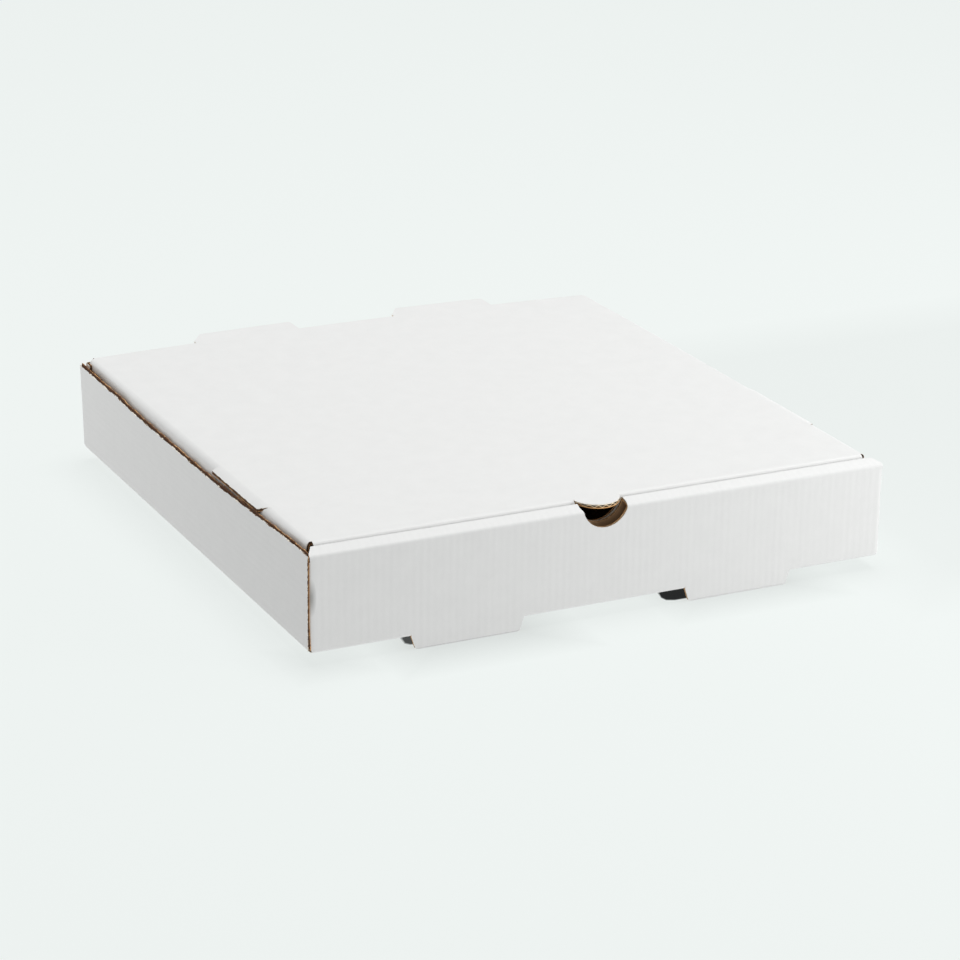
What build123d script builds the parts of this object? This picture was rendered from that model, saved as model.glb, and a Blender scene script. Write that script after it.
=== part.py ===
from build123d import *
import os
from math import pi, radians, tan

# Plain 12 inch pizza box: one die-cut blank of fine-fluted corrugated board, white outside and
# brown inside, folded up into a tray with a hinged lid. All sizes are in millimetres.
#
# Frame: +X runs along the front from left to right, +Y from the front to the hinge at the back,
# and +Z up. The origin is the middle of the whole footprint, back tabs included, at the level of
# the table under the feet.
#
# The box is drawn closed and as the blank folds it: every panel is board of one thickness, and
# every fold is a rounded bend. A cut that frees a tab leaves the matching hole in the panel that
# it was cut from.

# Board and folds
board = 1.6                # thickness of the corrugated board
tray_fold_inside = 0.2     # inside radius of the tray's tight folds
lid_fold_inside = 0.6      # inside radius of the lid's looser folds
panel_gap = 0.3            # air between panels that lie side by side
hinge_gap = 0.3            # air between the lid's rounded back edge and the back wall

# Tray
tray_width = 305.0         # 12 inches, over the side walls
tray_depth = 310.0         # from the front face to the back face
front_crease_height = 47.9  # from the underside of the bottom to the front wall's upper crease
side_wall_drop = 0.6       # from the front crease down to the side walls' raw top edge
roll_depth = 8.5           # from the front face to the inner panel's white face
strip_rise = 2.7           # from the front crease up to the top strip's back corner, unrounded
inner_panel_gap = 0.4      # air under the rolled-in front panel
corner_flap_length = 48.0  # glue-free flaps that turn in behind the side walls
corner_flap_slope = 12.0   # degrees, taper of a corner flap's free end
corner_flap_drop = 3.0     # from the front crease down to a corner flap's top edge
back_shoulder = 5.0        # how far a back corner flap keeps the wall's height past its fold

# Feet, which stay in line with the wall when the bottom folds up, and the slots that they leave
foot_height = 6.6
foot_length = 58.0
foot_taper = 2.0           # how much each end leans in over the foot's height
foot_corner_radius = 1.5
foot_from_centre = 72.5    # middle of the box to the middle of a foot
slot_clearance = 0.5       # behind the locking tab that fills a front slot
lock_tab_inset = 3.0       # how much shorter a locking tab is than its slot, at each end
lock_tab_drop = 1.8        # how far a locking tab sticks through the bottom

# Lid
lid_rise = 2.6             # from the front crease up to the lid's top face
lid_side_inset = 3.8       # from the side wall's outer face to the lid's side flap
lid_front_gap = 0.6        # between the rolled front and the lid's front flap
side_flap_depth = 38.0     # from the lid's top face to a side flap's lower edge
side_flap_slope = 9.0      # degrees, taper of a side flap's ends
front_flap_depth = 38.0
front_flap_lean = 5.0      # degrees, the front flap leans in so that it clears when it swings
flap_corner_gap = 0.5      # between the ends of the lid's folds at its front corners
hinge_end_gap = 2.4        # from the hinge axis to the back end of the side flaps

# Half-moon finger notch in the rolled front, and the lid's tongue above it
notch_radius = 12.3
notch_centre_rise = 3.2    # from the front crease up to the middle of the half-moon
notch_from_middle = -0.9   # the punch sits a little to the left
tongue_radius = 12.0
tongue_setback = 0.4       # from the front face back to the tongue's tip

# Tabs that stay in the lid's plane where its flaps fold down
side_tab_start = 58.5      # from the front face to the tab's front end, at its root
side_tab_length = 64.0
side_tab_setback = 0.8     # from the side wall's outer face in to the tab's edge
side_tab_slant = 6.5       # how much the tab's front corner is cut back
back_tab_length = 60.0
back_tab_reach = 11.2      # from the hinge axis to the tab's back edge
back_tab_from_centre = 58.5
back_tab_corner = 2.0
vent_side_gap = 0.5        # between a back tab and its notch in the back wall, when it is swung down
vent_end_gap = 0.6

# Places that follow from the sizes above
tray_fold = tray_fold_inside + board
lid_fold = lid_fold_inside + board
back_overhang = back_tab_reach - board / 2
front = -(tray_depth + back_overhang) / 2
back = front + tray_depth
side = tray_width / 2
floor_under = foot_height
floor_top = floor_under + board
front_crease = floor_under + front_crease_height
wall_top = front_crease - side_wall_drop
roll_top = front_crease + strip_rise
lid_top = front_crease + lid_rise
notch_centre = front_crease + notch_centre_rise
hinge_y = back - board / 2
hinge_z = lid_top - board / 2
back_wall_top = lid_top - board - hinge_gap
flap_outer_x = side - board - panel_gap
flap_inner_x = flap_outer_x - board
inner_panel_half = flap_inner_x - panel_gap
fold_half = flap_outer_x - panel_gap  # of the bottom's folds, just clear of the side walls' bends
lid_side_x = side - lid_side_inset
lid_flat_half = lid_side_x - lid_fold
lid_front_y = front + roll_depth + lid_front_gap
slot_reach = roll_depth + slot_clearance
cut_through = 2 * board
past = 1.0                 # how far a cut runs past the board


def bent_board(plane, corners, fold_radius, length, thickness=board):
    """Board bent along a line of its outer face, with the board on the line's left side.

    The line is drawn in the plane, its corners are rounded to the fold's outside radius, and the
    bent section is drawn out along the plane's normal.
    """
    outer_face = FilletPolyline(*corners, radius=fold_radius)
    section = make_face(offset(outer_face, amount=thickness, side=Side.LEFT, closed=True).edges())
    return extrude(plane * section, amount=length)


def block(low, high):
    """Upright block between two corner points."""
    size = [b - a for a, b in zip(low, high)]
    middle = [(a + b) / 2 for a, b in zip(low, high)]
    return Pos(*middle) * Box(*size)


def quarter_bend(length):
    """Tray fold along X, from the bottom at z = 0 up into a wall whose face is at y = 0."""
    ring = Cylinder(tray_fold, length) - Cylinder(tray_fold_inside, length)
    corner = Box(tray_fold, tray_fold, length, align=(Align.MIN, Align.MAX, Align.CENTER))
    return Pos(0, tray_fold, tray_fold) * (Rot(0, 90, 0) * (ring & corner))


def both_sides(part):
    """The part and its mirror image on the other side of the box's middle plane."""
    return part + mirror(part, about=Plane.YZ)


def wall_with_corner_flaps(height, shoulder):
    """Front or back wall and its two corner flaps, standing on the table's XY plane at y = 0.

    A flap keeps the wall's height over the shoulder and then steps down to its own.
    """
    free_end = corner_flap_length
    line = [
        (-flap_outer_x, free_end),
        (-flap_outer_x, 0),
        (flap_outer_x, 0),
        (flap_outer_x, free_end),
    ]
    wall = bent_board(Plane.XY, line, tray_fold, height)
    rise = corner_flap_length * tan(radians(corner_flap_slope)) / 2
    flap_top = front_crease_height - corner_flap_drop - tray_fold
    above = Polyline(
        (tray_fold + shoulder, flap_top),
        (corner_flap_length / 2, flap_top),
        (corner_flap_length + past, flap_top - rise),
        (corner_flap_length + past, height + past),
        (tray_fold + shoulder, height + past),
        close=True,
    )
    below = Polyline(
        (corner_flap_length / 2, -past),
        (corner_flap_length / 2, panel_gap),
        (corner_flap_length + past, rise),
        (corner_flap_length + past, -past),
        close=True,
    )
    for outline in (above, below):
        wall -= extrude(Plane.YZ * make_face(outline), amount=side, both=True)
    return wall


def foot_outline(length, height):
    """Outline of a foot below its fold, drawn downward from y = 0 with leaning ends."""
    half = length / 2
    outline = Polyline(
        (-half, 0),
        (-half + foot_taper, -height),
        (half - foot_taper, -height),
        (half, 0),
        close=True,
    )
    face = make_face(outline)
    return fillet(face.vertices().group_by(Axis.Y)[0], foot_corner_radius)


def add_feet(tray, wall_face, inward):
    """Free two feet in line with the wall at wall_face and cut the slots that they leave."""
    half = foot_length / 2
    for centre in (-foot_from_centre, foot_from_centre):
        slot_plane = Plane(
            origin=(centre, wall_face, floor_under - past), x_dir=(-inward, 0, 0), z_dir=(0, 0, 1)
        )
        slot = extrude(slot_plane * foot_outline(foot_length, slot_reach), amount=past + tray_fold)
        foot_plane = Plane(
            origin=(centre, wall_face, floor_under), x_dir=(inward, 0, 0), z_dir=(0, -inward, 0)
        )
        foot = extrude(foot_plane * foot_outline(foot_length, foot_height), amount=-board)
        root = block(
            (centre - half, min(wall_face, wall_face + inward * board), floor_under),
            (centre + half, max(wall_face, wall_face + inward * board), floor_under + tray_fold),
        )
        tray = tray - slot + foot + root
    return tray


def make_tray():
    """Bottom, four walls, corner flaps, rolled-in front panel and feet, all one folded blank."""
    # Bottom and side walls: one U across the box, with the walls carried on to the outer corners
    bottom_start = front + tray_fold
    bottom_length = tray_depth - 2 * tray_fold
    side_line = [
        (-side, wall_top),
        (-side, floor_under),
        (side, floor_under),
        (side, wall_top),
    ]
    across = Plane.XZ.offset(-(bottom_start + bottom_length))
    tray = bent_board(across, side_line, tray_fold, bottom_length)
    side_wall = block((-side, front, floor_under + tray_fold), (-side + board, back, wall_top))
    tray += both_sides(side_wall)

    # Folds from the bottom up into the front and back walls, as wide as the bottom
    fold = quarter_bend(2 * fold_half)
    tray += Pos(0, front, floor_under) * fold
    tray += Pos(0, back, floor_under) * mirror(fold, about=Plane.XZ)

    # Front and back walls with their corner flaps
    base = floor_under + tray_fold
    front_wall = wall_with_corner_flaps(front_crease - tray_fold - base, 0)
    tray += Pos(0, front, base) * front_wall
    back_wall = wall_with_corner_flaps(back_wall_top - base, back_shoulder)
    tray += Pos(0, back, base) * (Rot(0, 0, 180) * back_wall)

    # Sloping top strip and the inner panel that it carries back down to the bottom
    strip_half = flap_outer_x
    roll_line = [
        (front + roll_depth, floor_top + inner_panel_gap),
        (front + roll_depth, roll_top),
        (front, front_crease),
        (front, front_crease - tray_fold),
    ]
    roll = bent_board(Plane.YZ.offset(-strip_half), roll_line, tray_fold, 2 * strip_half)
    wedge = Polyline(
        (strip_half, front),
        (inner_panel_half, front + roll_depth - board),
        (inner_panel_half, front + roll_depth + past),
        (side, front + roll_depth + past),
        (side, front),
        close=True,
    )
    roll -= both_sides(extrude(make_face(wedge), amount=roll_top + past))
    tray += roll

    # Feet under the front wall, with locking tabs of the inner panel in their slots, and the
    # same feet under the back wall, so that the box stands level
    tray = add_feet(tray, front, 1)
    tray = add_feet(tray, back, -1)
    tab_half = foot_length / 2 - foot_taper - lock_tab_inset
    for centre in (-foot_from_centre, foot_from_centre):
        tray += block(
            (centre - tab_half, front + roll_depth - board, floor_under - lock_tab_drop),
            (centre + tab_half, front + roll_depth, floor_top + 2 * inner_panel_gap),
        )

    # Finger notch through the outer wall, the strip and the inner panel
    notch = Cylinder(
        notch_radius, roll_depth + board, align=(Align.CENTER, Align.CENTER, Align.MIN)
    )
    tray -= Pos(notch_from_middle, front, notch_centre) * (Rot(-90, 0, 0) * notch)

    # Vents in the back wall, where the lid's back tabs were cut from it
    vent_half = back_tab_length / 2 + vent_side_gap
    vent_bottom = hinge_z - back_tab_reach - vent_end_gap
    tray -= both_sides(
        block(
            (back_tab_from_centre - vent_half, back - cut_through, vent_bottom),
            (back_tab_from_centre + vent_half, back + past, lid_top),
        )
    )
    return tray


def make_lid():
    """Top panel with a tucked flap on three sides, the tongue, and the tabs in its plane."""
    # Side flaps: one U across the lid, with tapered ends
    flap_front = lid_front_y + lid_fold + flap_corner_gap
    flap_back = hinge_y - hinge_end_gap
    flap_bottom = lid_top - side_flap_depth
    side_line = [
        (lid_side_x, flap_bottom),
        (lid_side_x, lid_top),
        (-lid_side_x, lid_top),
        (-lid_side_x, flap_bottom),
    ]
    lid = bent_board(Plane.XZ.offset(-flap_back), side_line, lid_fold, flap_back - flap_front)
    drop = side_flap_depth - lid_fold
    cut_back = drop * tan(radians(side_flap_slope))
    for end, step in ((flap_front, 1), (flap_back, -1)):  # step points in from the flap's end
        corner = Polyline(
            (end - step * past, lid_top - lid_fold),
            (end, lid_top - lid_fold),
            (end + step * cut_back, flap_bottom),
            (end + step * cut_back, flap_bottom - past),
            (end - step * past, flap_bottom - past),
            close=True,
        )
        lid -= extrude(Plane.YZ * make_face(corner), amount=side, both=True)

    # Top panel and front flap, with the rounded back edge that turns about the hinge axis
    lean = front_flap_depth * tan(radians(front_flap_lean))
    front_line = [
        (hinge_y, lid_top),
        (lid_front_y, lid_top),
        (lid_front_y + lean, lid_top - front_flap_depth),
    ]
    lid += bent_board(Plane.YZ.offset(-lid_flat_half), front_line, lid_fold, 2 * lid_flat_half)
    hinge_round = Pos(0, hinge_y, hinge_z) * (Rot(0, 90, 0) * Cylinder(board / 2, 2 * lid_flat_half))
    lid += hinge_round

    # Tongue over the finger notch, and the hole that it leaves in the fold and the front flap
    fold_line = lid_front_y + lid_fold
    tongue_y = front + tongue_setback + tongue_radius
    reach = fold_line - tongue_y + tongue_radius
    lid -= block(
        (notch_from_middle - tongue_radius, front, lid_top - lid_fold),
        (notch_from_middle + tongue_radius, fold_line, lid_top + past),
    )
    bend_loss = (pi / 2) * (lid_fold - board / 2) - lid_fold
    hole_centre = lid_top + tongue_radius - reach + bend_loss
    lid -= Pos(notch_from_middle, front, hole_centre) * (
        Rot(-90, 0, 0)
        * Cylinder(tongue_radius, fold_line - front, align=(Align.CENTER, Align.CENTER, Align.MIN))
    )
    tongue = Pos(notch_from_middle, tongue_y, lid_top - board) * Cylinder(
        tongue_radius, board, align=(Align.CENTER, Align.CENTER, Align.MIN)
    )
    lid += tongue

    # Side tabs, and the gaps that they leave in the side folds
    tab_edge = side - side_tab_setback
    tab_reach = tab_edge - lid_flat_half
    tab_front = front + side_tab_start
    tab_back = tab_front + side_tab_length
    gap_bottom = lid_top - tab_reach + bend_loss
    lid -= both_sides(
        block((lid_flat_half, tab_front, gap_bottom), (side, tab_back, lid_top + past))
    )
    outline = Polyline(
        (lid_flat_half - board, tab_front),
        (lid_flat_half + board, tab_front),
        (tab_edge, tab_front + side_tab_slant),
        (tab_edge, tab_back),
        (lid_flat_half - board, tab_back),
        close=True,
    )
    lid += both_sides(Pos(0, 0, lid_top - board) * extrude(make_face(outline), amount=board))

    # Back tabs, which stand out behind the hinge
    half = back_tab_length / 2
    outline = Polyline(
        (back_tab_from_centre - half, hinge_y),
        (back_tab_from_centre - half, hinge_y + back_tab_reach - back_tab_corner),
        (back_tab_from_centre - half + back_tab_corner, hinge_y + back_tab_reach),
        (back_tab_from_centre + half - back_tab_corner, hinge_y + back_tab_reach),
        (back_tab_from_centre + half, hinge_y + back_tab_reach - back_tab_corner),
        (back_tab_from_centre + half, hinge_y),
        close=True,
    )
    lid += both_sides(Pos(0, 0, lid_top - board) * extrude(make_face(outline), amount=board))
    return lid


os.makedirs("parts", exist_ok=True)
tray = make_tray()
lid = make_lid()
export_step(tray, "parts/tray.step")
export_step(lid, "parts/lid.step")

print("hinge axis at y", round(hinge_y, 3), "z", round(hinge_z, 3))
print("front face", round(front, 3), "back face", round(back, 3), "lid top", round(lid_top, 3))
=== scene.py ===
"""Plain pizza box of fine-fluted board, cut flat as a blank and folded up over its CAD frame.

The tray and the lid are made the way a box maker makes them. Each is a flat blank of three plies,
a white liner, a fluted medium and a brown liner. It is cut out, its tabs are freed with a knife,
and it is bent at its creases. Sizes are in millimetres until a ply is handed to Blender.
"""

import logging
import math
from dataclasses import dataclass, field
from enum import Enum

import bmesh
import bpy
import numpy as np
from mathutils import Matrix, Vector


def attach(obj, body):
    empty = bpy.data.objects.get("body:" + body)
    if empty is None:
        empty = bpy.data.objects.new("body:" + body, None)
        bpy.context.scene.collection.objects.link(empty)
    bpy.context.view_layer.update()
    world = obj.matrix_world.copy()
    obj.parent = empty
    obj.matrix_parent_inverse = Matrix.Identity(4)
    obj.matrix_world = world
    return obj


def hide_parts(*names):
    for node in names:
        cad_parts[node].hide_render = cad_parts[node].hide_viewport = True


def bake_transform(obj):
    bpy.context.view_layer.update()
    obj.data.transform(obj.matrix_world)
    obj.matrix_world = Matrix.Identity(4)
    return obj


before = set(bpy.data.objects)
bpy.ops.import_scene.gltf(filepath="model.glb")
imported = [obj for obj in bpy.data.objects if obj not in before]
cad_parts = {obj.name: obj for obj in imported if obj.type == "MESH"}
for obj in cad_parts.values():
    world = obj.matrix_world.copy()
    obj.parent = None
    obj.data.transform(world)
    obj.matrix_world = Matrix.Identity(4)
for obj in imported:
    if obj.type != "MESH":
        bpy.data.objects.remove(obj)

log = logging.getLogger("pizza_box")

Colour = tuple[float, float, float]
Place = tuple[float, float, float]
Spot = tuple[float, float]
Sheet = bmesh.types.BMesh
Socket = bpy.types.NodeSocket

METRES = 0.001
QUARTER = math.pi / 2

# Allowances, in millimetres: for places that count as the same, for the knife's cuts, for a tab's
# root, for what a crease carries past its panels, and for cuts that run out over an edge.
CLOSE, KNIFE, AT_ROOT = 1e-4, 1e-5, 1e-3
HAIR, SLACK, PARTING = 0.01, 0.1, 0.5
OVERCUT, LONG_OVERCUT = 1.0, 5.0
FAR = 400.0

# Even lines keep this share of a step off the fixed lines, and no more than this many millimetres.
KEEP_OFF_SHARE, KEEP_OFF_MOST = 0.3, 3.0

# Material slots of a ply, numbers of the tabs, and the ways that a crease can bend the blank.
FACE, CUT, GLUED = 0, 1, 2
FOOT = 1
TONGUE, SIDE_TAB = 1, 2
NO_ROOT = -1.0
FORWARD, BACKWARD = (0.0, -1.0), (0.0, 1.0)
SIDEWAYS = ((-1.0, 0.0), (1.0, 0.0))


# Board


class Inside(Enum):
    """Which way the brown inside of a blank faces when the blank lies in its panel's plane."""

    ABOVE = 1.0
    BELOW = -1.0


class Ply(Enum):
    """One of the three papers that the board is glued up from."""

    WHITE_LINER = "white_liner"
    MEDIUM = "fluted_medium"
    BROWN_LINER = "brown_liner"


@dataclass(frozen=True)
class BoardStock:
    """Fine-fluted board, measured from its white face inwards."""

    thickness: float = 1.6
    liner: float = 0.36
    medium_paper: float = 0.28
    flute_pitch: float = 3.7
    steps_per_flute: int = 8

    def depths(self, ply: Ply) -> tuple[float, float]:
        """Low and high side of a ply, as depths under the white face.

        Args:
            ply: the ply to place.

        Returns:
            Depth of its outer side and depth of its inner side.
        """
        if ply is Ply.WHITE_LINER:
            return 0.0, self.liner
        if ply is Ply.BROWN_LINER:
            return self.thickness - self.liner, self.thickness
        middle = self.thickness / 2
        return middle - self.medium_paper / 2, middle + self.medium_paper / 2

    @property
    def flute_rise(self) -> float:
        """Half the height that the medium swings through between the liners."""
        return self.thickness / 2 - self.liner - self.medium_paper / 2

    @property
    def flute_step(self) -> float:
        """Width of one facet of the fluted medium."""
        return self.flute_pitch / self.steps_per_flute


@dataclass
class Points:
    """Points of a ply, in the flat blank and where the folds have put them.

    Attributes:
        flat: places in the flat blank, with the depth under the white face.
        tabs: number of the tab that each point belongs to, or 0.
        place: places so far, which every fold and wear moves.
    """

    flat: np.ndarray
    tabs: np.ndarray
    place: np.ndarray

    @property
    def u(self) -> np.ndarray:
        """Places across the flat blank."""
        return self.flat[:, 0]

    @property
    def v(self) -> np.ndarray:
        """Places along the flat blank."""
        return self.flat[:, 1]

    @property
    def depth(self) -> np.ndarray:
        """Depths under the white face."""
        return self.flat[:, 2]


@dataclass(frozen=True)
class Patch:
    """Upright rectangle of the flat blank, which has no end on a side that isn't given."""

    left: float = -FAR
    right: float = FAR
    near: float = -FAR
    far: float = FAR

    def holds(self, points: Points) -> np.ndarray:
        """Tell for each point whether it lies in the patch."""
        across = (points.u > self.left - CLOSE) & (points.u < self.right + CLOSE)
        return across & (points.v > self.near - CLOSE) & (points.v < self.far + CLOSE)


@dataclass(frozen=True)
class Crease:
    """A fold of the blank, bent towards the brown side about a rounded bend.

    Attributes:
        line: how far along its way the bend starts.
        way: direction in the flat blank that points away from the unbent part.
        degrees: how far the board is bent.
        radius: radius of the white face in the bend.
        carries: patches of the blank that it bends.
        takes_tab: number of a tab that goes all the way round with the part beyond.
        leaves_tab: number of a tab that stays behind, unbent.
    """

    line: float
    way: Spot
    degrees: float
    radius: float
    carries: tuple[Patch, ...]
    takes_tab: int = 0
    leaves_tab: int = 0

    @property
    def run(self) -> float:
        """Length of white face that the bend takes up."""
        return self.radius * math.radians(self.degrees)

    def bend(self, points: Points) -> None:
        """Bend everything that lies beyond the crease.

        Args:
            points: the points of a ply, whose places are moved.
        """
        way = np.array(self.way)
        flat, place = points.flat, points.place
        past = flat[:, :2] @ way - self.line
        beyond = np.zeros(len(flat), bool)
        for patch in self.carries:
            beyond |= patch.holds(points)
        beyond &= past > -CLOSE
        turned = np.clip(past, 0.0, self.run)
        if self.takes_tab:
            rider = points.tabs == self.takes_tab
            beyond |= rider & (np.sign(flat[:, :2] @ way) == np.sign(self.line or 1.0))
            turned[rider] = self.run
        if self.leaves_tab:
            beyond &= points.tabs != self.leaves_tab
        angle = turned / self.radius
        along = place[:, :2] @ way - self.line - turned
        rise = place[:, 2] - self.radius
        new_along = along * np.cos(angle) - rise * np.sin(angle)
        new_rise = along * np.sin(angle) + rise * np.cos(angle)
        shift = (self.line + new_along) - place[:, :2] @ way
        place[beyond, 0] += (shift * way[0])[beyond]
        place[beyond, 1] += (shift * way[1])[beyond]
        place[beyond, 2] = (new_rise + self.radius)[beyond]


@dataclass(frozen=True)
class Outline:
    """Convex knife line in the flat blank, its corners in order."""

    corners: tuple[Spot, ...]

    @property
    def bounds(self) -> Patch:
        """Rectangle round the outline."""
        us, vs = zip(*self.corners)
        return Patch(min(us), max(us), min(vs), max(vs))

    @property
    def sides(self) -> list[tuple[Spot, Spot]]:
        """The outline's sides, each from one corner to the next."""
        return list(zip(self.corners, self.corners[1:] + self.corners[:1]))

    def mirrored(self) -> "Outline":
        """The same outline on the other side of the box's middle."""
        return Outline(tuple((-u, v) for u, v in reversed(self.corners)))

    def wraps(self, face: bmesh.types.BMFace) -> bool:
        """Tell whether a face's middle lies inside.

        Args:
            face: a face of the flat sheet.

        Returns:
            Whether the middle is inside the outline.
        """
        u, v, _ = face.calc_center_median()
        signs = [
            (u_b - u_a) * (v - v_a) - (v_b - v_a) * (u - u_a)
            for (u_a, v_a), (u_b, v_b) in self.sides
        ]
        return all(s > -CLOSE for s in signs) or all(s < CLOSE for s in signs)


@dataclass(frozen=True)
class Tab:
    """Part of the blank that a knife frees but for its root, and any larger slot it leaves."""

    number: int
    outline: Outline
    root: float
    slot: Outline | None = None


def box_outline(left: float, right: float, near: float, far: float) -> Outline:
    """Rectangular knife line."""
    return Outline(((left, near), (right, near), (right, far), (left, far)))


def even_lines(edges: list[float], creases: list[float], step: float) -> list[float]:
    """Lines at even steps over a row of panels, with a line at each edge and crease.

    Args:
        edges: places of the panels' edges.
        creases: places of the creases' lines, of which those beyond the panels are left out.
        step: largest distance between two lines.

    Returns:
        The lines in order, none of the even ones too near to another.
    """
    low, high = min(edges), max(edges)
    count = max(1, math.ceil((high - low) / step - CLOSE))
    even = [low + (high - low) * i / count for i in range(1, count)]
    marks = [mark for mark in edges + creases if low - CLOSE <= mark <= high + CLOSE]
    fixed = sorted({round(mark, 5) for mark in marks})
    keep_off = min(step * KEEP_OFF_SHARE, KEEP_OFF_MOST)
    free = [e for e in even if min(abs(e - f) for f in fixed) > keep_off]
    return sorted(fixed + free)


def put(name: str, data: bpy.types.ID) -> bpy.types.Object:
    """Stand a new object in the scene, made from its mesh, light or camera."""
    thing = bpy.data.objects.new(name, data)
    bpy.context.scene.collection.objects.link(thing)
    return thing


def to_data(mesh: Sheet, name: str) -> bpy.types.Mesh:
    """Hand a finished mesh to Blender as named data."""
    data = bpy.data.meshes.new(name)
    mesh.to_mesh(data)
    mesh.free()
    return data


@dataclass
class Blank:
    """A flat blank with its panels, knife lines and creases, which makes one mesh a ply."""

    name: str
    stock: BoardStock
    inside: Inside
    level: float
    panels: list[Patch]
    creases: list[Crease]
    holes: list[Outline] = field(default_factory=list)
    tabs: list[Tab] = field(default_factory=list)
    bend_cuts: int = 6
    panel_step: float = 16.0

    def settle(self, points: Points) -> None:
        """Let the folded board bow, droop and wear, which a plain blank doesn't.

        Args:
            points: the folded points, which a plain blank does not use.
        """

    def crease_marks(self, axis: int) -> list[float]:
        """Lines that the creases need.

        Args:
            axis: 0 for places across the blank, and 1 for places along it.

        Returns:
            Places of the lines.
        """
        marks = []
        for crease in self.creases:
            way = crease.way[axis]
            if way:
                cuts = max(2, round(self.bend_cuts * crease.degrees / 90))
                marks += [way * (crease.line + crease.run * i / cuts) for i in range(cuts + 1)]
        return marks

    def sheet(self, ply: Ply) -> Sheet:
        """Lay out one ply flat, with only the panels that the blank has.

        Args:
            ply: the ply to lay out.

        Returns:
            A flat mesh in millimetres.
        """
        us = [side for panel in self.panels for side in (panel.left, panel.right)]
        vs = [end for panel in self.panels for end in (panel.near, panel.far)]
        if ply is Ply.MEDIUM:
            us = even_lines(us, [], self.stock.flute_step)
        else:
            us = even_lines(us, self.crease_marks(0), self.panel_step)
        vs = even_lines(vs, self.crease_marks(1), self.panel_step)
        mesh = bmesh.new()
        bmesh.ops.create_grid(mesh, x_segments=len(us) - 1, y_segments=len(vs) - 1, size=0.5)
        for vert in mesh.verts:
            column = round((vert.co.x + 0.5) * (len(us) - 1))
            row = round((vert.co.y + 0.5) * (len(vs) - 1))
            vert.co = (us[column], vs[row], 0.0)
        waste = []
        for face in mesh.faces:
            u, v, _ = face.calc_center_median()
            if not any(p.left < u < p.right and p.near < v < p.far for p in self.panels):
                waste.append(face)
        bmesh.ops.delete(mesh, geom=waste, context="FACES")
        return mesh

    @staticmethod
    def cut_along(mesh: Sheet, outline: Outline) -> list[bmesh.types.BMFace]:
        """Cut the sheet along an outline.

        Args:
            mesh: the flat sheet.
            outline: the knife line.

        Returns:
            The faces inside the outline.
        """
        reach = outline.bounds
        near = []
        for face in mesh.faces:
            us = [vert.co.x for vert in face.verts]
            vs = [vert.co.y for vert in face.verts]
            apart = max(us) < reach.left or min(us) > reach.right
            if not apart and max(vs) > reach.near and min(vs) < reach.far:
                near.append(face)
        for (u_a, v_a), (u_b, v_b) in outline.sides:
            geom = {element for face in near for element in (face, *face.edges, *face.verts)}
            made = bmesh.ops.bisect_plane(
                mesh,
                geom=list(geom),
                dist=KNIFE,
                plane_co=(u_a, v_a, 0.0),
                plane_no=(v_b - v_a, u_a - u_b, 0.0),
            )
            near = [e for e in made["geom"] if isinstance(e, bmesh.types.BMFace)]
        return [face for face in near if outline.wraps(face)]

    def knife(self, mesh: Sheet) -> None:
        """Cut the holes and free the tabs of a flat sheet.

        Args:
            mesh: the flat sheet.
        """
        number = mesh.verts.layers.int.new("tab")
        for hole in self.holes:
            bmesh.ops.delete(mesh, geom=self.cut_along(mesh, hole), context="FACES")
        for tab in self.tabs:
            if tab.slot:
                self.cut_along(mesh, tab.slot)
            inner = set(self.cut_along(mesh, tab.outline))
            freed = []
            for edge in {edge for face in inner for edge in face.edges}:
                at_root = all(abs(abs(vert.co.y) - tab.root) < AT_ROOT for vert in edge.verts)
                sides = set(edge.link_faces)
                if len(sides) == 2 and len(sides & inner) == 1 and not at_root:
                    freed.append(edge)
            bmesh.ops.split_edges(mesh, edges=freed)
            for face in inner:
                for vert in face.verts:
                    vert[number] = tab.number
            if tab.slot:
                left = [face for face in mesh.faces if tab.slot.wraps(face)]
                left = [f for f in left if not all(v[number] == tab.number for v in f.verts)]
                bmesh.ops.delete(mesh, geom=left, context="FACES")

    def fold(self, flat: np.ndarray, tabs: np.ndarray) -> np.ndarray:
        """Bend the flat blank at its creases, the outermost first, and put it in its place.

        Args:
            flat: places in the flat blank, with the depth under the white face.
            tabs: number of the tab that each point belongs to, or 0.

        Returns:
            Places in the box's frame, in millimetres.
        """
        points = Points(flat, tabs, flat.copy())
        for crease in self.creases:
            crease.bend(points)
        points.place[:, 2] = self.level + self.inside.value * points.place[:, 2]
        self.settle(points)
        return points.place

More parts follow.
